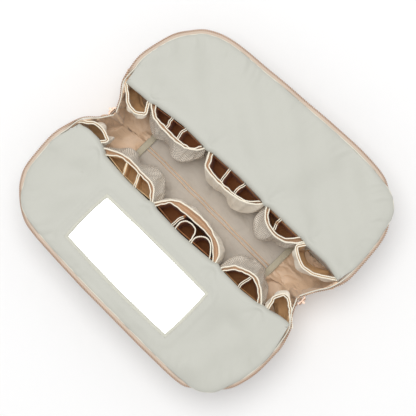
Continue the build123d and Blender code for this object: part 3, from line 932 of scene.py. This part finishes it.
def slot_cup(side, outline, bottom, seed, clear=2.8):
    """One slot: a closed cloth tube with a bottom, its plan outline given at the top. It stays clear of the
    wall's middle by the given distance."""
    centre = outline.mean(0)
    rows = []
    depths = (bottom - 0.3, bottom, bottom + 0.5, bottom + 4, TOP - 24, TOP - 12, TOP - 4, TOP - 0.6)
    levels = [TOP - 0.6, TOP - 2.5, *np.linspace(TOP - 4, bottom + 4, 12), bottom + 0.5, bottom, bottom - 0.3]
    for z in levels:
        size = np.interp(z, depths, (0.02, 0.3, 0.7, 0.85, 0.93, 0.97, 0.99, 1.0))
        x, y = (centre + (outline - centre) * size).T
        rows.append(level_row(x, SIDE[side] * (y + (1 - size) * 6), z))
    grid = np.array(rows)
    grid[..., 0] += 0.25 * lumps(grid[..., 1] * 2, grid[..., 2], seed, 14)
    limit = wall_face(grid[..., 2], clear, fold_y(side, grid[..., 0]))
    away = np.minimum(np.abs(grid[..., 1]), limit)
    # against the wall the cup starts lower, under the lining's bend
    at_wall = step(away[0] - limit[0], -2.5, -0.2)
    for row, drop in ((0, 3.2), (1, 1.4)):
        grid[row, :, 2] -= drop * at_wall
    grid[..., 1] = SIDE[side] * away
    return grid if side == "front" else grid[:, ::-1]


def curve_between(curve, low, high):
    """The part of a plan curve between two x values, ends cut exactly."""
    fine = resample(curve, 200)
    inside = fine[(fine[:, 0] > low) & (fine[:, 0] < high)]
    first, last = ([x, np.interp(x, *fine.T)] for x in (low, high))
    return np.vstack([[first], inside, [last]])


def slot_cups(side, p, seed):
    """The spaces between the band, the dividers and the wall, and the loops inside one of them."""
    band = np.array(p["band"], float)
    lines = [resample(divider[:3], 12) for divider in p["dividers"]]
    # x of each space's two borders, on the band and at the wall
    marks = [(band[0, 0], band[0, 0]), *((d[-1, 0], d[0, 0]) for d in lines), (band[-1, 0], band[-1, 0])]
    none = np.empty((0, 2))
    cups = []
    for k, (a, b) in enumerate(zip(marks, marks[1:])):
        front = resample(curve_between(band, a[0] + 0.5, b[0] - 0.5), 26, smooth=False)
        right = lines[k][::-1] - (0.6, 0) if k < len(lines) else none
        left = lines[k - 1] + (0.6, 0) if k > 0 else none
        wall = fold_y(side, np.array([a[1], b[1]])) - 2.8
        back = resample([(b[1] - 0.6, wall[1]), ((a[1] + b[1]) / 2, wall.mean()), (a[1] + 0.6, wall[0])], 12)
        outline = closed_ring(np.vstack([front, right[1:], back, left[:-1]]))
        cups.append(slot_cup(side, outline, p["bottom"] + 2, seed + k))
    for k, ring in enumerate(p.get("loops", ())):
        outline = closed_ring(resample(ring, 40))
        cups.append(slot_cup(side, outline, p["bottom"] + 3, seed + 5 + k, clear=3.5))
    return cups


def build_slots(name, side, p, seed):
    cups = slot_cups(side, p, seed)
    # the slots' material carries painted shade, darker and browner than their cloth
    slots = tubes_object(f"{name}_slot_cloth", cups, M[p.get("slot_shade", "slot")], solid=False)
    thicken(slots, 0.5)
    declare(slots, [f"{name}_slots"])


def build_web(name, side, p):
    """Cloth hanging between the slots and the pocket's mouth."""
    t = np.linspace(0, 1, 12)[:, None]
    a, b = (plan(p[key], side, TOP) for key in ("band", "outer"))
    gap = np.linalg.norm(a - b, axis=1)[None]
    hanging = a[None] * (1 - t[..., None]) + b[None] * t[..., None]
    hanging[..., 2] -= 0.5 + np.minimum(gap, 6.5) * np.sin(t * math.pi) ** 0.8
    # its colour is painted shade: darker and browner than the pocket cloth, as in a shaded groove
    web = sheet_object(f"{name}_web", hanging, [M["web"]], 0.4, offset=0.0)
    declare(web)


def build_pocket(name, side, p, seed):
    """From its mouth down over its belly to the wall's foot."""
    s = SIDE[side]
    high, low = TOP - 0.5, p["bottom"]
    mouth, belly = plan(p["outer"], side, high), plan(p["belly"], side, 26)
    foot = belly.copy()
    foot[:, 1] = s * (np.abs(belly[:, 1]) * 0.55 + 33 * 0.45)
    foot[:, 2] = low
    rows = []
    for b in np.linspace(0, 1, 36):
        out, under = step(b, 0, 0.5), step(b, 0.62, 1.0)
        row = (mouth * (1 - out) + belly * out) * (1 - under) + foot * under
        row[:, 2] = high * (1 - b) + low * b
        rows.append(row)
    grid = np.array(rows)
    share = np.linspace(0, 1, grid.shape[1])[None]
    across, down = share * 55, np.linspace(0, 1, len(rows))[:, None]
    folds = 0.6 * np.sin(across * 0.36 + 1.2 * down + seed) + 0.7 * lumps(across, down * 40, seed, 22)
    folds *= np.sin(down * math.pi) ** 0.7
    folds *= np.sin(share * math.pi) ** 0.5
    grid[..., 1] -= s * 0.8 * folds
    if s > 0:
        grid = grid[:, ::-1]
    is_net = p["cloth"] == "net"
    kind = "mesh_pocket" if is_net else "cloth_pocket"
    pocket = sheet_object(f"{name}_{kind}_sheet", grid, [M[p["cloth"]]])
    settle(pocket, grid.shape[:2], grow=0.08, gravity=0.4, most=3.0, bending=0.8)
    if not is_net:
        thicken(pocket, 0.6)
    declare(pocket, [f"{name}_{kind}"])


def build_bindings(name, side, p, seed):
    tubes = binding_tubes(plan(p["band"], side, TOP + 0.2), seed, 0.52)
    tubes += binding_tubes(plan(p["outer"], side, TOP), seed + 2, 0.68)
    for k, (*points, lines) in enumerate(p["dividers"]):
        path = plan(points, side, TOP, 30)
        path[:, 2] -= 0.8 * np.sin(np.linspace(0, 1, 30) * math.pi)
        tubes += binding_tubes(path, seed + 4 + k, 0.4, lines, gap=0.72)
    for k, ring in enumerate(p.get("loops", ())):
        tubes += binding_tubes(plan(ring, side, TOP - 0.4), seed + 7 + k, 0.55)
    elastic = tubes_object(f"{name}_elastic", tubes, M["edge"])
    declare(elastic, [f"{name}_bindings"])


def build_end_pocket(name, side, end_name, band, seed):
    """A shallow pouch between the wall and the gusset, kept inside the gusset."""
    s, end = SIDE[side], END[end_name]
    high = TOP - 0.3
    mouth = plan(band, side, high, 80)
    foot = mouth.copy()
    middle = end * 92.0
    foot[:, 0] = middle + (mouth[:, 0] - middle) * 0.55
    foot[:, 1] = s * (np.abs(mouth[:, 1]) * 0.5 + 32 * 0.5)
    rows = []
    for b in np.linspace(0, 1, 24):
        row = mouth * (1 - b) + foot * b
        row[:, 2] = high * (1 - b) + 22.0 * b
        rows.append(row)
    grid = np.array(rows)
    down = np.linspace(0, 1, len(rows))[:, None]
    flare = np.sin(np.clip(down * 1.25, 0, 1) * math.pi) ** 0.8
    grid[..., 1] -= s * flare * (5.5 + 1.5 * lumps(np.linspace(0, 40, 80)[None], down * 20, seed, 12))
    towards_middle = np.linspace(1, 0, 80) if end > 0 else np.linspace(0, 1, 80)
    grid[..., 0] -= end * flare * 2.5 * towards_middle
    if s > 0:
        grid = grid[:, ::-1]
    # the inside of the pouch takes the second material, its cloth darkened with painted shade
    pouch = sheet_object(f"{name}_end_pocket_sheet", grid, [M["pocket"], M["end_pocket_inside_shade"]])
    settle(pouch, grid.shape[:2], grow=0.06, gravity=0.3, most=2.0)
    room = end * 1.2 * MM
    for vert in pouch.data.vertices:
        from_floor = Vector((end * 70 * MM, vert.co.y, vert.co.z))
        hit = gusset_surface[end_name].ray_cast(from_floor, Vector((end, 0, 0)))[0]
        if hit is not None and end * vert.co.x > end * (hit.x - room):
            vert.co.x = hit.x - room
    thicken(pouch, 0.6, inner_material=1)
    declare(pouch, [f"{name}_end_pocket"])


for number, (name, p) in enumerate(POCKETS.items()):
    side, seed = name.split("_")[0], 110 + 10 * number
    build_slots(name, side, p, seed)
    build_web(name, side, p)
    build_pocket(name, side, p, seed)
    build_bindings(name, side, p, seed)

end_tubes = {"front": [], "back": []}
for number, (name, band) in enumerate(END_POCKET_MOUTHS.items()):
    side, end_name = name.split("_")
    seed = 170 + 10 * number
    build_end_pocket(name, side, end_name, band, seed)
    end_tubes[side] += binding_tubes(plan(band, side, TOP + 0.2), seed, 0.55, lines=2, gap=0.85)
for side, tubes in end_tubes.items():
    elastic = tubes_object(f"{side}_end_elastic", tubes, M["edge"])
    declare(elastic, [f"{side}_end_bindings"])

# ---- CAD pieces that stay
for name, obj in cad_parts.items():
    if name.endswith(("_slider", "_pull")):
        use_material(obj, M["metal"])
    elif name.endswith("base_cover"):
        use_material(obj, M["cover"])
    elif name == "base_board":
        use_material(obj, M["foam"])
    else:
        continue
    if not obj.data.attributes.get("cloth"):
        layer = obj.data.attributes.new("cloth", "FLOAT_VECTOR", "POINT")
        layer.data.foreach_set("vector", coordinates(obj).ravel())

# ---- stage, light and camera
bpy.ops.mesh.primitive_plane_add(size=6.0, location=(0, 0, -0.5 * MM))
ground = bpy.context.object
ground.name = "stage_floor"
WHITE = (1, 1, 1, 1)
paper, _, _ = new_material("stage_paper", Base_Color=(0.80, 0.80, 0.80, 1), Roughness=1.0,
                           Specular_IOR_Level=0.0, Emission_Color=WHITE, Emission_Strength=0.07)
ground.data.materials.append(paper)

# The paper's surroundings look brighter than the light they give.
AMBIENT = 0.74
LOOKS = 1.05
scene = bpy.context.scene
world = bpy.data.worlds.new("studio")
scene.world = world
world.use_nodes = True
tree = world.node_tree
background = tree.nodes["Background"]
background.inputs["Color"].default_value = WHITE
rays = tree.nodes.new("ShaderNodeLightPath").outputs
seen = math_node(tree, "MAXIMUM", rays["Is Glossy Ray"], rays["Is Camera Ray"])
tree.links.new(scaled(tree, seen, LOOKS - AMBIENT, AMBIENT), background.inputs["Strength"])

key_data = bpy.data.lights.new("key", "AREA")
key_data.shape = "DISK"
key_data.size = 1.1
key_data.energy = 12.0
key = add_object("key", key_data)
key.location = (-0.22, 0.14, 1.5)
key.rotation_euler = (-key.location).to_track_quat("-Z", "Y").to_euler()

TARGET = Vector((2.7, -0.7, 40.0)) * MM
TILT = (0.0633, -0.0068)         # towards +X and +Y, in radians
YAW = math.radians(45)
DISTANCE = 1.3
back_axis = Vector((math.sin(TILT[0]), math.sin(TILT[1]), 1)).normalized()
right_axis = Vector((math.cos(YAW), math.sin(YAW), 0))
right_axis = (right_axis - back_axis * right_axis.dot(back_axis)).normalized()
axes = Matrix((right_axis, back_axis.cross(right_axis), back_axis)).transposed()
camera_data = bpy.data.cameras.new("camera")
camera_data.sensor_width = 36
camera_data.lens = 138.6
camera = add_object("camera", camera_data)
camera.matrix_world = Matrix.Translation(TARGET + back_axis * DISTANCE) @ axes.to_4x4()
scene.camera = camera
scene.view_settings.view_transform = "Standard"
